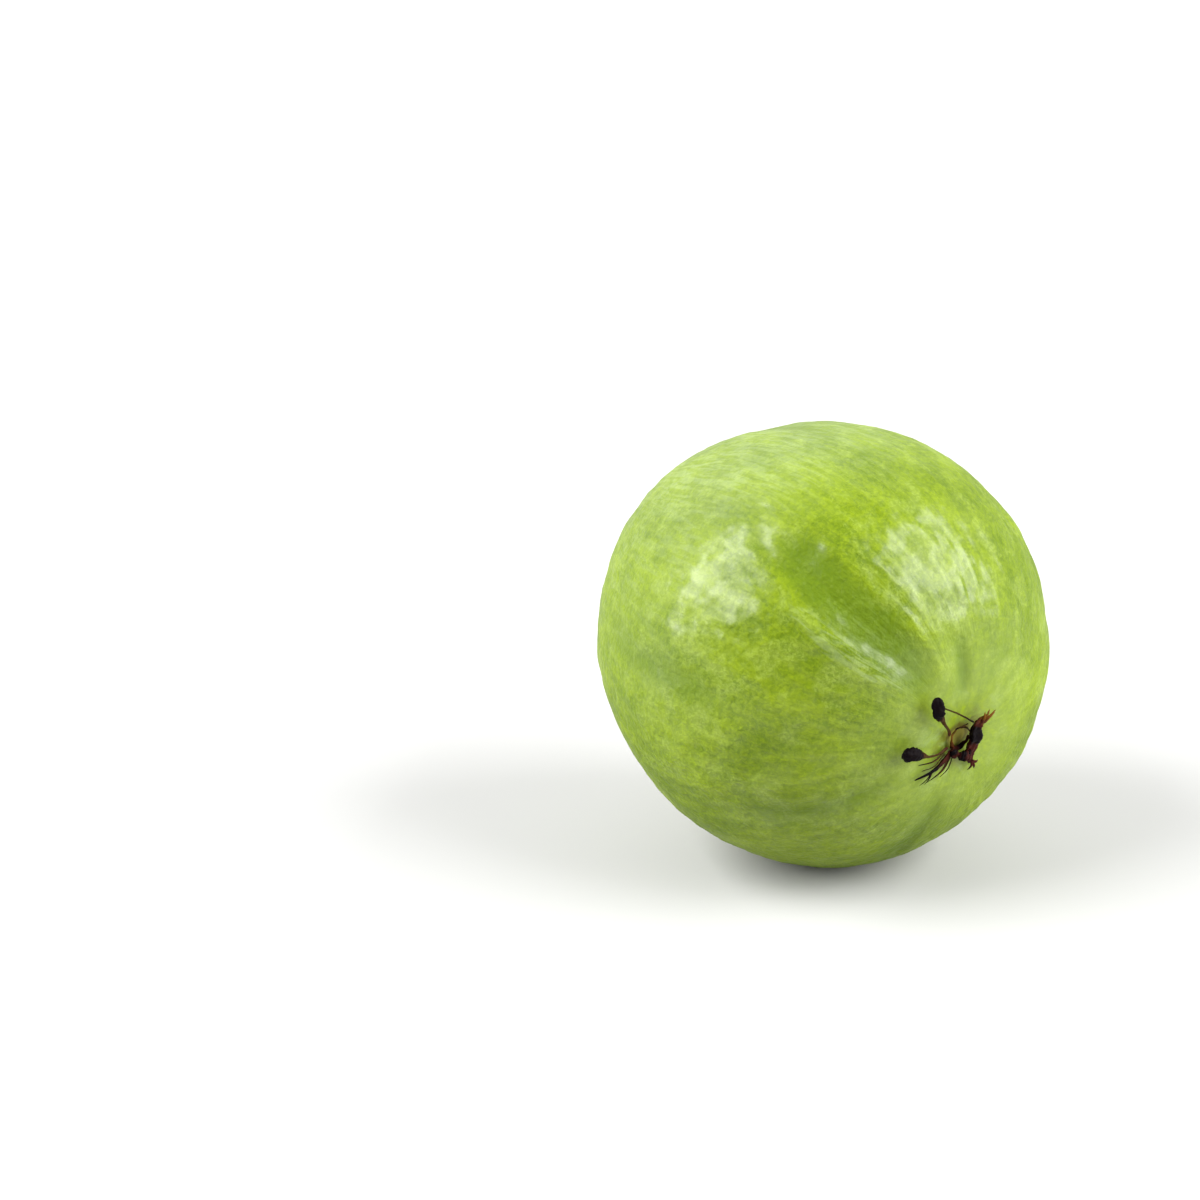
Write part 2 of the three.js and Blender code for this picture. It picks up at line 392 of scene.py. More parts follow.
class Wire:
    def __init__(self, tree, socket=None):
        self.tree = tree
        self.socket = socket

    def node(self, kind, settings=None, inputs=None, output=0):
        made = self.tree.nodes.new("ShaderNode" + kind)
        for name, value in (settings or {}).items():
            if name == "stops":
                set_stops(made.color_ramp, value)
            else:
                setattr(made, name, value)
        for name, value in (inputs or {}).items():
            if isinstance(value, Wire):
                self.tree.links.new(value.socket, made.inputs[name])
            else:
                made.inputs[name].default_value = value
        return Wire(self.tree, made.outputs[output])

    def kept(self, pattern, output="Fac"):
        """A pattern that was kept on the points."""
        return self.node("Attribute", {"attribute_name": pattern}, output=output)

    def math(self, operation, *values, clamp=False):
        return self.node("Math", {"operation": operation, "use_clamp": clamp}, dict(enumerate(values)))

    def __add__(self, other):
        return self.math("ADD", self, other)

    def __sub__(self, other):
        return self.math("SUBTRACT", self, other)

    def __rsub__(self, other):
        return self.math("SUBTRACT", other, self)

    def __mul__(self, other):
        return self.math("MULTIPLY", self, other)

    __radd__ = __add__
    __rmul__ = __mul__

    def held(self):
        """Held between 0 and 1."""
        return self.math("ADD", self, 0.0, clamp=True)

    def between(self, low, high):
        """0 below low, 1 above high, with a smooth step between them."""
        settings = {"interpolation_type": "SMOOTHSTEP"}
        return self.node("MapRange", settings, {"Value": self, "From Min": low, "From Max": high})

    def blend(self, first, second):
        """A colour: the first where this wire is 0, the second where it is 1."""
        colours = {MIX_FACTOR: self, MIX_FIRST: first, MIX_SECOND: second}
        return self.node("Mix", {"data_type": "RGBA"}, colours, MIX_RESULT)


def set_stops(ramp, stops):
    while len(ramp.elements) < len(stops):
        ramp.elements.new(1.0)
    for element, (position, paint) in zip(ramp.elements, stops):
        element.position = position
        element.color = paint


print("wires ready")

# %% Colours and empty finishes
def colour(red, green, blue):
    """A colour as a screen shows it, 0 to 255, turned into the linear light that shaders use."""
    linear = []
    for part in (red, green, blue):
        part = part / 255
        linear.append(part / 12.92 if part <= 0.04045 else ((part + 0.055) / 1.055) ** 2.4)
    return (*linear, 1.0)


def new_finish(name):
    """An empty material: the material, its tree as a wire, and its shader."""
    material = bpy.data.materials.new(name)
    material.use_nodes = True
    shader = material.node_tree.nodes["Principled BSDF"]
    return material, Wire(material.node_tree), shader


def plug(wire, shader, name):
    wire.tree.links.new(wire.socket, shader.inputs[name])


def settle(shader, values):
    """Numbers and colours that are the same all over the surface."""
    for name, value in values.items():
        shader.inputs[name].default_value = value


def painted(base, layers):
    """Thin layers of colour over a base, each as dense as its mask."""
    for mask, paint in layers:
        base = mask.blend(base, paint)
    return base


print("finishes can be mixed")

# %% [markdown]
# ## Patterns of the skin
#
# Guava skin changes at every scale: broad patches, streaks that run lengthwise, a mottling of a
# millimetre or two, fine grain and pale pores. Noise read in the lengthwise coordinates gives the
# streaks, and noise read in even coordinates gives the rest. Both come from the points, in millimetres,
# so a pattern's size is the size it has on the fruit.

# %% Patterns kept on the points
skin_material, skin, skin_shader = new_finish("guava_skin")
run = skin.kept("lengthwise", "Vector")
everywhere = skin.kept("evenly", "Vector")
height = skin.kept("relief")
from_end = skin.kept("from_blossom")
on_open_skin = skin.kept("open_skin")
# where bloom and a painted sheen lie
on_bloom_and_sheen_area = skin.kept("bloom_area")
# where shade is painted into the furrows
painted_furrow_shade = 1 - skin.kept("furrows").between(-0.60, 0.0)
on_ridge = skin.kept("waxy_ridge").between(0.05, 0.40)
print("patterns on the points read")


# %% Patterns from noise
def run_noise(round_cell, along_cell, detail=2.0, warp=0.0):
    """Noise that runs lengthwise, with a cell of so many millimetres round the fruit, and along."""
    scale = (1 / round_cell, 1 / round_cell, 1 / along_cell)
    read_at = skin.node("VectorMath", {"operation": "MULTIPLY"}, {0: run, 1: scale})
    inputs = {"Vector": read_at, "Scale": 1.0, "Detail": detail, "Distortion": warp}
    return skin.node("TexNoise", None, inputs)


def even_noise(cell, detail=2.0, warp=0.0):
    """Noise with a cell of so many millimetres every way."""
    inputs = {"Vector": everywhere, "Scale": 1 / cell, "Detail": detail, "Distortion": warp}
    return skin.node("TexNoise", None, inputs)


patches = even_noise(14)
blotches = even_noise(2.6, 3.0, 0.7)
mottling = even_noise(1.3, 2.0, 0.4)
fine_grain = even_noise(0.55, 2.0, 0.6)
streaks = run_noise(2.6, 12, 3.0, 0.4)
wrinkle_lines = run_noise(0.9, 5.5, 2.0, 0.6)
dusty_streaks = run_noise(1.7, 5.5, 3.0, 0.8).between(0.42, 0.62)
flecks = fine_grain.between(0.42, 0.64)
bloom = even_noise(6.0, 3.0, 0.8).between(0.50, 0.66)
pebbles = skin.node("TexVoronoi", {"feature": "SMOOTH_F1"}, {
    "Vector": everywhere, "Scale": 1 / 1.3, "Randomness": 1.0, "Smoothness": 0.7})
pores = skin.node("TexVoronoi", None, {"Vector": everywhere, "Scale": 1 / 1.7, "Randomness": 0.9})
pore_dot = 1 - pores.between(0.10, 0.26)
print("patterns from noise ready")

# %% [markdown]
# ## Colour of the skin
#
# The skin is a thin green coat over pale flesh. Dips and furrows get a deeper green as painted shade, and
# the tops of the ridges a paler one as painted light. A dusty bloom lies in patches, and on the upper side
# of the stem half a pale painted sheen is added to it.
# Round the dried flower the skin turns pale and stained. Each of these is a thin layer of one colour over
# the last, and its mask says where it lies and how dense it is. Layers are easier to judge one by one
# than a single long ramp.

# %% Colours of the skin
DEEP_GREEN = colour(84, 106, 4)
YELLOW_GREEN = colour(121, 141, 12)
PALE_GREEN = colour(138, 156, 70)
# the colour of the painted shade in the furrows
FURROW_SHADE_GREEN = colour(74, 98, 4)
SUNNY_GREEN = colour(132, 152, 4)
STAIN_OLIVE = colour(92, 90, 18)
CHALKY_GREEN = colour(122, 142, 84)
# pale dusty bloom, also used as a painted sheen
BLOOM_AND_SHEEN_GREEN = colour(152, 168, 118)
CUP_TAN = colour(140, 134, 56)
CUP_BROWN = colour(96, 74, 30)
print("colours of the skin named")

# %% Layers of the open skin
tint = patches.between(0.38, 0.62) * 0.35 + streaks.between(0.38, 0.64) * 0.25
tint = (tint + mottling.between(0.35, 0.65) * 0.30 + flecks * 0.30 - 0.10).held()
# painted shade where the relief is low, painted light where it is high
painted_shade_in_dips = 1 - height.between(-0.65, 0.15)
painted_light_on_tops = height.between(0.10, 0.75)
near_flower = 1 - from_end.between(0.14, 0.75)

green = painted(tint.blend(DEEP_GREEN, YELLOW_GREEN), [
    # painted shade in the dips and painted light on the tops of the ridges
    (painted_shade_in_dips * 0.55, DEEP_GREEN),
    (painted_light_on_tops * 0.35, PALE_GREEN),
    (bloom * (0.15 + 0.20 * flecks), PALE_GREEN),
    # partly dusty bloom, partly a painted sheen of the bright surroundings on the upper side
    (on_bloom_and_sheen_area * (0.18 + 0.50 * dusty_streaks * patches), BLOOM_AND_SHEEN_GREEN),
    (near_flower * 0.35, PALE_GREEN),
    # painted shade in the furrows
    (painted_furrow_shade * (0.28 + 0.45 * streaks), FURROW_SHADE_GREEN),
])
print("open skin painted")

# %% Layers round the dried flower, on the waxy fold and in the pores
CUP_RADIUS = 2.2 * MM
CUP_ANGLE = CUP_RADIUS / BLOSSOM_REACH         # where the dried rim of the cup sits

stained = 1 - from_end.between(CUP_ANGLE * 2.0, CUP_ANGLE * 6.0)
by_the_cup = 1 - from_end.between(CUP_ANGLE * 1.4, CUP_ANGLE * 3.8)
cup_edge = 1 - from_end.between(CUP_ANGLE, CUP_ANGLE * 1.7)
cup_floor = 1 - from_end.between(CUP_ANGLE * 0.7, CUP_ANGLE)

green = painted(green, [
    (stained * blotches.between(0.52, 0.66) * 0.7, SUNNY_GREEN),
    (stained * bloom * 0.6, CHALKY_GREEN),
    (by_the_cup * (1 - blotches.between(0.34, 0.52)) * 0.75, STAIN_OLIVE),
    (on_ridge * dusty_streaks * 0.28, BLOOM_AND_SHEEN_GREEN),
    (pore_dot * on_open_skin * 0.10, PALE_GREEN),
    (cup_edge * (0.35 + 0.4 * mottling), CUP_BROWN),
    (cup_floor, CUP_TAN),
])
plug(green, skin_shader, "Base Color")
print("skin coloured")

# %% [markdown]
# ## Wax and grain of the skin
#
# The skin itself shines little. What shines is the wax on it, which is thick in some patches and thin in
# others, so a highlight has a clear edge and is still broken into flecks. A coat over a dull skin says
# this better than one gloss for all. Seen at a very flat angle, a coat mirrors nearly everything and
# would turn the rim white, which wax this uneven doesn't do, so Layer Weight thins it there. A bump finer
# than the mesh gives the grain.

# %% Wax, grain and depth of the skin
BUMP_DEPTH = 0.40 * MM
THIN_WAX = 0.12
THICK_WAX = 0.52         # added to the thin wax where the wax is thickest
LOST_AT_THE_RIM = 0.92   # share of the gloss that goes where the skin is seen flat

bumps = fine_grain * 0.20 + mottling * 0.70 - pebbles * 0.40 + wrinkle_lines * 0.30 - pore_dot * 0.06
bumps = bumps * (0.15 + 0.85 * on_open_skin)
rough_skin = skin.node("Bump", None, {"Strength": 1.0, "Distance": BUMP_DEPTH, "Height": bumps})
plug(rough_skin, skin_shader, "Normal")
plug(0.42 + 0.14 * mottling + 0.10 * patches, skin_shader, "Roughness")

wax = even_noise(4.0, 2.0, 0.6).between(0.36, 0.62) * 0.6 + streaks.between(0.3, 0.7) * 0.4
seen_flat = skin.node("LayerWeight", None, {"Blend": 0.5}, output="Facing").between(0.26, 0.76)
plug((THIN_WAX + THICK_WAX * wax) * (1 - LOST_AT_THE_RIM * seen_flat), skin_shader, "Coat Weight")
settle(skin_shader, {
    "Coat Roughness": 0.21,
    "Specular IOR Level": 0.15,
    "IOR": 1.45,
    "Subsurface Weight": 0.12,
    "Subsurface Radius": (1.0, 1.0, 0.35),
    "Subsurface Scale": 1.5 * MM,
})
fruit.data.materials.append(skin_material)
print("skin finish on", fruit.name)

# %% [markdown]
# ## Dried pieces of the flower
#
# When a guava ripens, the sepals, the style and a few stamens of its flower stay on as shrivelled black
# and brown remains. They are thin, twisted and folded lengthwise, so each is swept along a smooth path
# through a few stops. A stop says how far it lies from the edge of the cup, the angle around, how far it
# rises clear of the skin, and its half-width. Folds that run along the piece and a rougher noise across
# it make the oval section look shrunken. A curl bends the section into a channel, like a dried leaf.

# %% Paths over the blossom end
CLEARANCE = 0.3 * MM
CUP_RIM = 0.45 * MM
CUP_EDGE = CUP_RADIUS + CUP_RIM
THINNEST = 0.02 * MM     # the least half-width, so that no tip turns inside out


def above_blossom(out, degrees, rise):
    """A point over the skin of the blossom end: out along the skin from the axis, the angle, the height."""
    angle_out = np.asarray(out) / BLOSSOM_REACH
    angle_round = np.radians(degrees)
    reach = skin_reach(angle_out, angle_round) + rise
    return direction(angle_out, angle_round) * np.asarray(reach)[..., None]


def smooth_through(rows, steps):
    """A Catmull-Rom curve through rows of numbers."""
    rows = np.array(rows, dtype=float)
    rows = np.vstack([2 * rows[0] - rows[1], rows, 2 * rows[-1] - rows[-2]])
    travelled = np.linspace(0, len(rows) - 3, steps)
    start = np.minimum(travelled.astype(int), len(rows) - 4)
    part = (travelled - start)[:, None]
    before, here, there, beyond = (rows[start + i] for i in range(4))
    bend = 2 * before - 5 * here + 4 * there - beyond
    twist = 3 * here - before - 3 * there + beyond
    return here + part * ((there - before) + part * (bend + part * twist)) / 2


def centre_line(stops, flatness, steps):
    """Centres in the fruit's own frame, and half-widths, in metres."""
    out, degrees, rise, half = np.array(stops, dtype=float).T
    height_of_centre = CLEARANCE + (flatness * half + rise) * MM
    centres = above_blossom(CUP_EDGE + CLEARANCE + out * MM, degrees, height_of_centre)
    smooth = smooth_through(np.column_stack([centres, half * MM]), steps)
    return smooth[:, :3], np.maximum(smooth[:, 3], THINNEST)


print("clear of the skin by", CLEARANCE / MM, "mm")


# %% Sweep a shrivelled piece
def across_the_path(centres):
    """Two unit vectors at each centre: sideways over the skin, and up from it."""
    ahead = np.gradient(centres, axis=0)
    ahead /= np.linalg.norm(ahead, axis=1, keepdims=True)
    side = np.cross(ahead, centres)
    side /= np.linalg.norm(side, axis=1, keepdims=True)
    return side, np.cross(side, ahead)


def shrivelled(along, angle, folds, fold_depth, crumple, seed):
    """How much wider or narrower the section is at each ring and each angle."""
    size = 1 + fold_depth * np.cos(folds * angle + 2.0 * np.sin(5 * along + seed))
    if crumple:
        spots = np.stack(np.broadcast_arrays(1.6 * np.cos(angle), 1.6 * np.sin(angle), 9 * along), -1)
        spots = spots.reshape(-1, 3)
        bumps = noise_at(spots, seed + 11) + 0.5 * noise_at(2.3 * spots, seed)
        size = size * (1 + crumple * bumps.reshape(len(along), -1))
    return size


def swept(centres, halves, flatness=1.0, sides=24, folds=0, fold_depth=0.0, crumple=0.0, curl=0.0,
          twist=0.0, blunt=0.06, seed=0):
    """Points and faces of a closed strip round a centre line, and how far along it each point lies."""
    steps = len(centres)
    share = np.linspace(0, 1, steps)
    to_end = np.minimum(np.minimum(share, 1 - share) / blunt, 1)
    wide = (halves * np.sqrt(1 - (1 - to_end) ** 2))[:, None]
    along = share[:, None]
    angle = np.linspace(0, 2 * math.pi, sides, endpoint=False)[None, :]
    size = shrivelled(along, angle, folds, fold_depth, crumple, seed)
    across = np.cos(angle + twist * along) * size
    raised = np.sin(angle + twist * along) * size * flatness + curl * (across ** 2 - 0.5)
    side, up = across_the_path(centres)
    points = centres[:, None] + side[:, None] * (across * wide)[..., None]
    points = points + up[:, None] * (raised * wide)[..., None]
    ring = np.arange(steps * sides).reshape(steps, sides)
    faces = cell_corners(np.hstack([ring, ring[:, :1]])).reshape(-1, 4).tolist()
    faces += [ring[0][::-1].tolist(), ring[-1].tolist()]
    return points.reshape(-1, 3), faces, np.repeat(share, sides)


print("sweep ready")


# %% Several strips as one piece
def gathered(parts):
    """The points, the faces and the distances along of several swept strips, as one mesh needs them."""
    points, faces, alongs, start = [], [], [], 0
    for part_points, part_faces, part_along in parts:
        points.append(part_points)
        faces += [[start + corner for corner in face] for face in part_faces]
        alongs.append(part_along)
        start += len(part_points)
    return np.concatenate(points), faces, np.concatenate(alongs)


def dried_piece(name, parts, material, slot, node):
    points, faces, along = gathered(parts)
    piece = link_mesh(name, lying(points), faces)
    keep_on_points(piece, "along", along)
    piece.data.materials.append(material)
    stands_for(piece, slot, node)
    print(f"{name}: {len(points)} points")


print("pieces can be gathered")

# %% [markdown]
# ## Finishes of the dried pieces
#
# Dried plant tissue is nearly black where it is thick and red-brown where it is thin, and almost without
# gloss. One colour for all would look painted. So the colour is a ramp along the piece, disturbed by
# noise: a club can be black at its tip and brown on its stalk, and a torn tip can be orange. A little dry
# dust lies on top, and fibres give the grain.

# %% Dried finish
BLACK_BROWN = colour(8, 3, 5)
RED_BROWN = colour(54, 19, 12)
DRY_BROWN = colour(54, 36, 13)
ORANGE_BROWN = colour(92, 58, 14)
DRY_OLIVE = colour(48, 44, 10)
STAIN_SCALE = 1400.0     # cells of noise in one metre
FIBRE_SCALE = 5200.0
FIBRE_DEPTH = 0.08 * MM


def dried_finish(name, stops, roughness=0.5):
    material, wire, shader = new_finish(name)
    spot = wire.node("TexCoord", output="Object")
    stains = wire.node("TexNoise", None, {"Vector": spot, "Scale": STAIN_SCALE, "Detail": 3.0})
    fibres = wire.node("TexNoise", None, {"Vector": spot, "Scale": FIBRE_SCALE, "Detail": 2.0})
    shifted = (wire.kept("along") + 0.30 * (stains - 0.5)).held()
    ramp = wire.node("ValToRGB", {"stops": stops}, {"Fac": shifted})
    dusty = ((stains - 0.55) * 0.8 * fibres).held().blend(ramp, DRY_BROWN)
    plug(dusty, shader, "Base Color")
    plug((roughness - 0.12 + 0.3 * stains).held(), shader, "Roughness")
    grainy = {"Strength": 0.7, "Distance": FIBRE_DEPTH, "Height": stains + 0.6 * fibres}
    plug(wire.node("Bump", None, grainy), shader, "Normal")
    settle(shader, {"Specular IOR Level": 0.04})
    return material


print("dried finish ready")

# %% Six dried finishes
club_finish = dried_finish("dried_club", [
    (0.0, RED_BROWN), (0.12, DRY_BROWN), (0.48, DRY_BROWN), (0.60, BLACK_BROWN), (1.0, BLACK_BROWN)])
lobe_finish = dried_finish("dried_lobe", [
    (0.0, BLACK_BROWN), (0.12, RED_BROWN), (0.32, RED_BROWN), (0.44, BLACK_BROWN), (0.66, BLACK_BROWN),
    (0.76, RED_BROWN), (0.88, ORANGE_BROWN), (1.0, ORANGE_BROWN)], 0.42)
strand_finish = dried_finish("dried_strand", [
    (0.0, RED_BROWN), (0.30, RED_BROWN), (0.55, BLACK_BROWN), (1.0, BLACK_BROWN)])
rim_finish = dried_finish("dried_rim", [
    (0.0, RED_BROWN), (0.25, DRY_OLIVE), (0.45, ORANGE_BROWN), (0.62, RED_BROWN), (0.78, BLACK_BROWN),
    (1.0, RED_BROWN)])
lump_finish = dried_finish("dried_lump", [
    (0.0, RED_BROWN), (0.2, BLACK_BROWN), (0.4, BLACK_BROWN), (0.6, RED_BROWN), (0.8, BLACK_BROWN),
    (1.0, RED_BROWN)])
thread_finish = dried_finish("dried_thread", [(0.0, DRY_OLIVE), (0.4, DRY_BROWN), (1.0, BLACK_BROWN)])
print("six dried finishes")

# %% [markdown]
# ## Sepals
#
# Two sepals have shrunk to thin brown stalks that end in black clubs. The right one is a thick dark lobe
# that curls round the cup and ends in a torn, orange tip. The lower one is a flat dark strand. Four
# meshes modelled by hand would each need their own care, but one sweep with other stops makes all of
# them. Small slivers are added where a tip is torn.

# %% Stops of the sepals
SEPAL_FLATNESS = 0.6
UPPER_STOPS = [(0.0, 158, 0.2, 0.42), (2.6, 142, 0.9, 0.26), (5.0, 139, 1.4, 0.28), (6.4, 137, 1.5, 0.50),
               (7.8, 136, 1.6, 0.98), (9.0, 134, 1.6, 1.26), (10.2, 130, 1.5, 1.08), (10.9, 127, 1.5, 0.55)]
LEFT_STOPS = [(0.2, 206, 0.2, 0.46), (3.0, 194, 0.8, 0.24), (5.4, 186, 1.1, 0.26), (6.9, 181, 1.2, 0.55),
              (8.5, 178, 1.2, 1.10), (10.1, 176, 1.2, 1.30), (11.4, 174, 1.0, 0.90)]
RIGHT_STOPS = [(3.9, 299, 0.3, 0.42), (1.5, 300, 0.6, 0.85), (-0.4, 328, 1.0, 1.15), (-0.5, 8, 1.3, 1.30),
               (0.2, 52, 1.5, 1.20), (1.8, 54, 1.7, 0.80), (3.2, 48, 1.9, 0.42)]
LOWER_STOPS = [(0.0, 226, 0.4, 0.62), (2.6, 221, 0.6, 0.42), (5.4, 216, 0.6, 0.34), (8.8, 211, 0.3, 0.16)]


def sepal(stops, steps=90, **shape):
    centres, halves = centre_line(stops, SEPAL_FLATNESS, steps)
    return swept(centres, halves, SEPAL_FLATNESS, **shape)


def slivers(root, ends, width, shade, seed=0):
    """Torn fibres that fan out from one spot to several others. The shade is where they read the ramp."""
    parts = []
    for number, end in enumerate(ends):
        middle = [(first + last) / 2 for first, last in zip(root, end)]
        middle[2] += 0.25
        stops = [(*root, width), (*middle, width * 0.8), (*end, width * 0.2)]
        centres, halves = centre_line(stops, 1.0, 20)
        points, faces, along = swept(centres, halves, 0.7, sides=8, crumple=0.25, seed=seed + number)
        parts.append((points, faces, shade[0] + (shade[1] - shade[0]) * along))
    return parts


print("sepals can be swept")

# %% Four sepals
club_shape = dict(folds=3, fold_depth=0.13, crumple=0.34, twist=1.8, blunt=0.06)
upper_club = sepal(UPPER_STOPS, seed=3, **club_shape)
left_club = sepal(LEFT_STOPS, seed=8, **club_shape)
dried_piece("sepal_upper_club", [upper_club], club_finish, "dried_sepal", "sepal_upper")
dried_piece("sepal_left_club", [left_club], club_finish, "dried_sepal", "sepal_left")

right_lobe = [sepal(RIGHT_STOPS, steps=120, folds=4, fold_depth=0.14, crumple=0.30, curl=0.25, seed=5)]
top_tips = [(4.4, 40, 1.9), (4.6, 46, 2.3), (4.1, 52, 1.8), (3.3, 61, 2.1), (3.0, 38, 1.8)]
foot_tips = [(5.6, 300, 0.4), (4.8, 290, 0.5), (4.9, 311, 0.3)]
torn_top = slivers((1.2, 54, 1.9), top_tips, 0.42, (0.74, 1.0), 20)
torn_foot = slivers((3.4, 301, 0.5), foot_tips, 0.32, (0.3, 0.05), 30)
torn_lobe = right_lobe + torn_top + torn_foot
dried_piece("sepal_right_lobe", torn_lobe, lobe_finish, "dried_sepal", "sepal_right")

lower = [sepal(LOWER_STOPS, folds=3, fold_depth=0.15, crumple=0.25, curl=0.3, seed=9)]
lower += slivers((5.0, 217, 0.6), [(8.6, 222, 0.3), (7.8, 226, 0.3)], 0.16, (0.3, 1.0), 40)
dried_piece("sepal_lower_strand", lower, strand_finish, "dried_sepal", "sepal_lower")

# %% [markdown]
# ## Rim of the cup, style and threads
#
# The sepals and stamens sat on a small round cup. Its rim has dried to a thin, uneven ring, thicker on
# its lower side. The style has shrunk to a few dark lumps on the lower edge, and some stamens are left as
# threads finer than half a millimetre. A torus would be too even for the ring, so it is swept like the
# rest, along a circle that waves a little.


# %% Ring and lumps
def rim_of_cup(steps=96):
    turn = np.linspace(0, 2 * math.pi, steps + 1)
    middle_rise = above_blossom(CUP_EDGE, 0.0, CLEARANCE + CUP_RIM)[2]
    radius = CUP_RADIUS + 0.10 * MM * (np.sin(3 * turn + 0.6) + 0.6 * np.sin(7 * turn))
    rise = middle_rise + 0.14 * MM * np.sin(2 * turn + 1.0) + 0.08 * MM * np.sin(9 * turn)
    centres = np.stack([radius * np.cos(turn), radius * np.sin(turn), rise], -1)
    lower_side = (1 - np.sin(turn)) / 2
    halves = CUP_RIM * (0.35 + 0.75 * lower_side ** 2 + 0.12 * np.sin(5 * turn + 2.0))
    rim_shape = dict(sides=14, folds=3, fold_depth=0.15, crumple=0.25, blunt=0.001, seed=4)
    return swept(centres, halves, 0.8, **rim_shape)


dried_piece("cup_rim", [rim_of_cup()], rim_finish, "dried_sepal", "calyx_ring")

STYLE_FLATNESS = 0.8
STYLE_LUMPS = [          # the stops, the steps and the seed of each lump
    ([(-0.2, 246, 1.3, 0.60), (-0.1, 268, 1.5, 1.00), (0.5, 290, 1.3, 0.60)], 50, 6),
    ([(-0.2, 214, 0.6, 0.40), (0.0, 232, 0.9, 0.80), (0.1, 254, 0.9, 0.50)], 40, 14),
    ([(-0.1, 286, 1.0, 0.40), (0.1, 303, 1.1, 0.72), (0.6, 318, 0.9, 0.40)], 40, 15),
]
lump_shape = dict(folds=4, fold_depth=0.12, crumple=0.35, blunt=0.25)
style_lumps = [
    swept(*centre_line(stops, STYLE_FLATNESS, steps), STYLE_FLATNESS, seed=seed, **lump_shape)
    for stops, steps, seed in STYLE_LUMPS
]
dried_piece("style_lump", style_lumps, lump_finish, "dried_sepal", "style_remnant")

# %% Threads
UPPER_THREADS = [
    [(8.4, 129, 1.3, 0.15), (3.6, 111, 1.2, 0.16), (0.9, 70, 1.7, 0.18)],
    [(0.2, 70, 0.7, 0.14), (0.0, 100, 1.0, 0.15), (0.2, 128, 0.6, 0.14)],
]
LEFT_THREADS = [
    [(1.4, 208, 0.3, 0.17), (4.2, 202, 0.7, 0.15), (7.4, 196, 0.3, 0.08)],
    [(1.2, 214, 0.4, 0.12), (4.4, 210, 0.9, 0.10), (7.0, 205, 0.5, 0.06)],
]
LOWER_THREADS = [
    [(0.3, 243, 0.3, 0.17), (3.6, 236, 0.6, 0.14), (6.4, 229, 0.3, 0.07)],
    [(0.4, 236, 0.3, 0.12), (3.9, 230, 0.9, 0.10), (7.2, 226, 0.4, 0.05)],
    [(0.4, 250, 0.3, 0.12), (3.0, 246, 0.7, 0.10), (5.2, 240, 0.4, 0.05)],
]


def threads(paths, seed):
    return [
        swept(*centre_line(stops, 1.0, 40), sides=8, crumple=0.3, seed=seed + number)
        for number, stops in enumerate(paths)
    ]


dried_piece("threads_upper", threads(UPPER_THREADS, 50), thread_finish, "dried_thread", "filament_upper")
dried_piece("threads_left", threads(LEFT_THREADS, 60), thread_finish, "dried_thread", "filament_left")
dried_piece("threads_lower", threads(LOWER_THREADS, 70), thread_finish, "dried_thread", "filament_lower")

# %% [markdown]
# ## The stub of the stalk
#
# At the stem end a short piece of woody stalk stays on when the fruit is cut from the tree. Its foot
# flares into the fruit, its bark has fine lengthwise ridges, and its cut end is pale with a small pith in
# the middle. A lathe would do for the round form, but the ridges need points that move in and out, so the
# rings are computed here.

# %% Form of the stub
STEM_FOOT = 2.4 * MM
STEM_RADIUS = 1.9 * MM
STEM_LENGTH = 4.4 * MM
STUB_RINGS = 90
STUB_SIDES = 72
BARK_RIDGES = 3.2        # radius of the bark, in cells of noise
BARK_LENGTH = 900.0      # length of one metre of bark, in cells of noise
BARK_DEPTH = 0.10        # share of the radius
ROUGH_CUT = 0.12 * MM


def stub_rings():
    """Radius and distance from the foot of each ring, from the foot to the middle of the cut."""
    foot = [(0.0, 0.0), (0.90, 0.0), (1.0, 0.10), (0.93, 0.24)]
    wall = [(0.82, 0.40), (0.79, 0.65), (0.79, 0.90)]
    cut = [(0.76, 0.98), (0.70, 1.0), (0.55, 0.985), (0.35, 0.98), (0.20, 0.97), (0.12, 0.94), (0.0, 0.93)]
    radius, rise = smooth_through(foot + wall + cut, STUB_RINGS).T
    return np.maximum(radius, 0) * STEM_FOOT, rise * STEM_LENGTH


def height_of_foot():
    """How far from the heart the foot stands, along the axis and clear of the skin in its hollow."""
    foot_angle = STEM_FOOT / STEM_REACH
    return skin_reach(math.pi - foot_angle, 0.0) * math.cos(foot_angle) + CLEARANCE


print("the foot stands", round(height_of_foot() / MM, 2), "mm from the heart")

# %% Build the stub
ring_radius, ring_rise = stub_rings()
rise = ring_rise[:, None]
round_it = np.linspace(0, 2 * math.pi, STUB_SIDES, endpoint=False)
bark = np.stack([BARK_RIDGES * np.cos(round_it), BARK_RIDGES * np.sin(round_it), 0 * round_it], -1)
bark = bark + np.array([0, 0, BARK_LENGTH]) * rise[:, None]
bark_noise = noise_at(bark.reshape(-1, 3), 31).reshape(STUB_RINGS, STUB_SIDES)
on_wall = np.clip(ring_radius / STEM_RADIUS, 0, 1)[:, None] ** 2
ridged = ring_radius[:, None] * (1 + BARK_DEPTH * bark_noise * on_wall)
depth = height_of_foot() + rise + ROUGH_CUT * bark_noise * (rise / STEM_LENGTH) ** 4
stub_points = np.stack([ridged * np.cos(round_it), ridged * np.sin(round_it), -depth], -1)
ring = np.arange(STUB_RINGS * STUB_SIDES).reshape(STUB_RINGS, STUB_SIDES)
stub_faces = cell_corners(np.hstack([ring, ring[:, :1]])[::-1]).reshape(-1, 4).tolist()

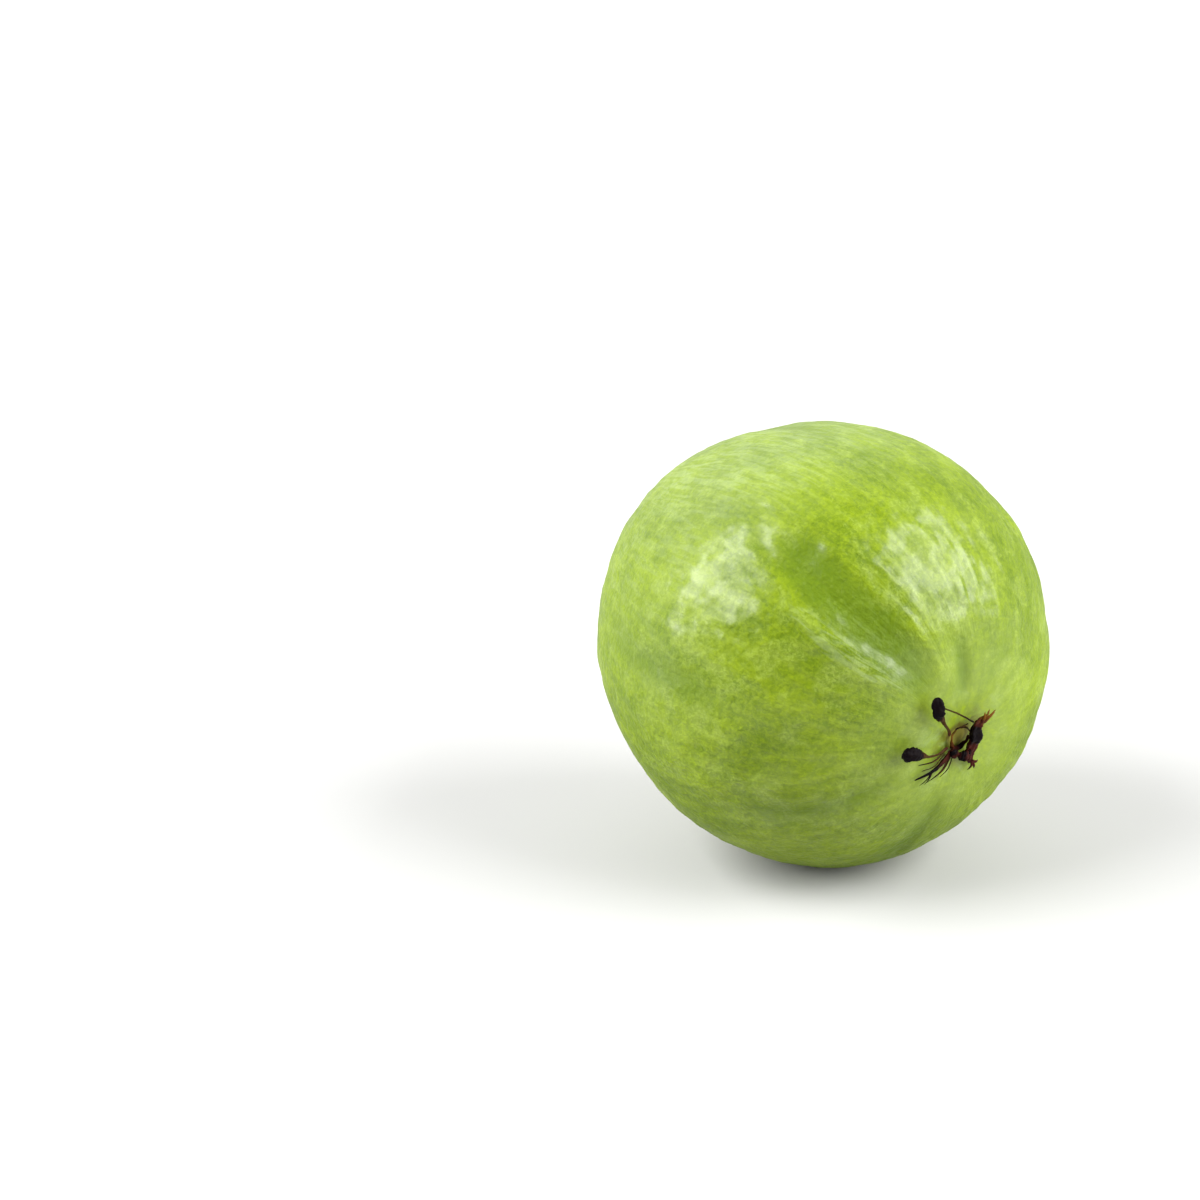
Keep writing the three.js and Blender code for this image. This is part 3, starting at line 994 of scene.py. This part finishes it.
stub = link_mesh("stalk_stub", lying(stub_points.reshape(-1, 3)), stub_faces)
keep_on_points(stub, "out_from_pith", np.repeat(ring_radius / STEM_RADIUS, STUB_SIDES))
keep_on_points(stub, "up_the_stalk", np.repeat(ring_rise / STEM_LENGTH, STUB_SIDES))
stands_for(stub, "stalk", "stem_stub")
print("stub", STUB_RINGS * STUB_SIDES, "points")

# %% [markdown]
# ## Finish of the stub
#
# Bark is brown and green in patches, with dark specks. The cut is pale wood with faint rings round a
# darker pith. Both are on one mesh, so the distance up the stalk says which of the two a spot belongs to.
# Two materials would do too, but their border would be a hard edge from face to face.

# %% Bark and cut wood
BARK = colour(104, 88, 48)
BARK_GREEN = colour(112, 120, 52)
CUT_WOOD = colour(186, 160, 104)
PITH = colour(110, 78, 40)
RINGS_IN_THE_WOOD = 40.0
WOOD_GRAIN_SCALE = 900.0     # cells of noise in one metre
SPECK_SCALE = 3600.0
BARK_GRAIN_DEPTH = 0.15 * MM

stub_material, stalk, stub_shader = new_finish("stalk_bark")
out_from_pith = stalk.kept("out_from_pith")
on_cut = stalk.kept("up_the_stalk").between(0.93, 0.97)
on_pith = 1 - out_from_pith.between(0.16, 0.30)
on_stub = stalk.node("TexCoord", output="Object")
wood_grain = stalk.node("TexNoise", None, {"Vector": on_stub, "Scale": WOOD_GRAIN_SCALE, "Detail": 4.0})
specks = stalk.node("TexNoise", None, {"Vector": on_stub, "Scale": SPECK_SCALE, "Detail": 2.0})
rings = stalk.math("SINE", out_from_pith * RINGS_IN_THE_WOOD)

bark_colour = painted((wood_grain.between(0.35, 0.65) * 0.7).blend(BARK, BARK_GREEN), [
    (specks.between(0.55, 0.75) * 0.6, RED_BROWN)])
cut_colour = painted((0.35 + 0.25 * rings * wood_grain).blend(CUT_WOOD, DRY_BROWN), [(on_pith, PITH)])
plug(on_cut.blend(bark_colour, cut_colour), stub_shader, "Base Color")
plug(0.62 + 0.25 * wood_grain, stub_shader, "Roughness")
rough_bark = stalk.node("Bump", None, {
    "Strength": 0.8, "Distance": BARK_GRAIN_DEPTH, "Height": wood_grain + 0.5 * specks})
plug(rough_bark, stub_shader, "Normal")
stub.data.materials.append(stub_material)
print("stub finished")

# %% [markdown]
# ## Floor
#
# A pale floor keeps the view plain and catches the soft shadow that says the fruit lies on something.
# It is stage, so it isn't part of the guava. Its colour clouds very slightly, as real paper does.

# %% Floor
HALF_FLOOR = 3.0
PAPER = colour(178, 178, 177)
PALER_PAPER = colour(182, 182, 181)

floor_corners = [(x * HALF_FLOOR, y * HALF_FLOOR, 0) for x, y in ((-1, -1), (1, -1), (1, 1), (-1, 1))]
floor = link_mesh("floor", floor_corners, [(0, 1, 2, 3)])
floor_material, ground, floor_shader = new_finish("pale_floor")
cloudy = ground.node("TexNoise", None, {"Vector": ground.node("TexCoord", output="Object"), "Scale": 3.0})
plug(cloudy.blend(PAPER, PALER_PAPER), floor_shader, "Base Color")
settle(floor_shader, {"Roughness": 0.6, "Specular IOR Level": 0.2})
floor.data.materials.append(floor_material)
print("floor", 2 * HALF_FLOOR, "m wide")

# %% [markdown]
# ## Light
#
# Two large soft boxes give the skin its two broad highlights, one on the left and one on the right. A
# small one stands low on the left, for the glint below the left highlight. A wide, weak sun hangs
# overhead, where it lightens the upper side without a highlight of its own. Their directions are said in
# the camera's own sense of right, up and back, because a highlight moves with the eye. The surroundings
# are brighter behind and above the fruit than in front of it, and look evenly pale to the camera itself.

# %% Soft boxes and sun
BOX_DISTANCE = 2.5
camera_matrix = np.array(camera.rotation_euler.to_matrix())


def as_the_camera_sees(right, up, back):
    return Vector(camera_matrix @ np.array([right, up, back])).normalized()


def facing_the_fruit(toward_lamp):
    return toward_lamp.to_track_quat("Z", "Y").to_euler()


def soft_box(name, toward_lamp, width, tall, power):
    """A lit panel that faces the fruit."""
    light = bpy.data.lights.new(name, "AREA")
    light.shape = "RECTANGLE"
    light.size = width
    light.size_y = tall
    light.energy = power
    panel = bpy.data.objects.new(name, light)
    panel.location = Vector(HEART) + BOX_DISTANCE * toward_lamp
    panel.rotation_euler = facing_the_fruit(toward_lamp)
    bpy.context.collection.objects.link(panel)


soft_box("left_box", as_the_camera_sees(-0.76, 0.50, 0.40), 2.0, 1.9, 140.0)
soft_box("right_box", as_the_camera_sees(0.80, 0.38, 0.36), 2.3, 2.2, 170.0)
soft_box("low_left_box", as_the_camera_sees(-0.97, 0.13, 0.05), 0.55, 0.5, 11.0)

overhead = bpy.data.objects.new("overhead", bpy.data.lights.new("overhead", "SUN"))
overhead.data.energy = 0.5
overhead.data.angle = math.radians(80)
overhead.rotation_euler = facing_the_fruit(as_the_camera_sees(-0.2, 0.9, -0.3))
bpy.context.collection.objects.link(overhead)

# %% Surroundings
DIM_SIDE = 0.10          # brightness in front of the fruit
BRIGHT_SIDE = 1.00       # what is added to it behind and above the fruit
SEEN_BRIGHTNESS = 0.95   # what the camera itself sees

world = bpy.data.worlds.new("surroundings")
world.use_nodes = True
sky = Wire(world.node_tree)
background = world.node_tree.nodes["Background"]
facing = sky.node("VectorMath", {"operation": "DOT_PRODUCT"}, {
    0: sky.node("TexCoord", output="Generated"), 1: as_the_camera_sees(0.0, 0.6, -0.8)}, output="Value")
seen = sky.node("LightPath", output="Is Camera Ray")
brightness = DIM_SIDE + BRIGHT_SIDE * facing.between(0.1, 0.95)
brightness = brightness + seen * (SEEN_BRIGHTNESS - brightness)
plug(brightness, background, "Strength")
settle(background, {"Color": (1.0, 1.0, 1.0, 1.0)})
bpy.context.scene.world = world
bpy.context.scene.view_settings.view_transform = "Standard"
print("surroundings lit")

# %% [markdown]
# ## The end

# %% The end
print("scene built")
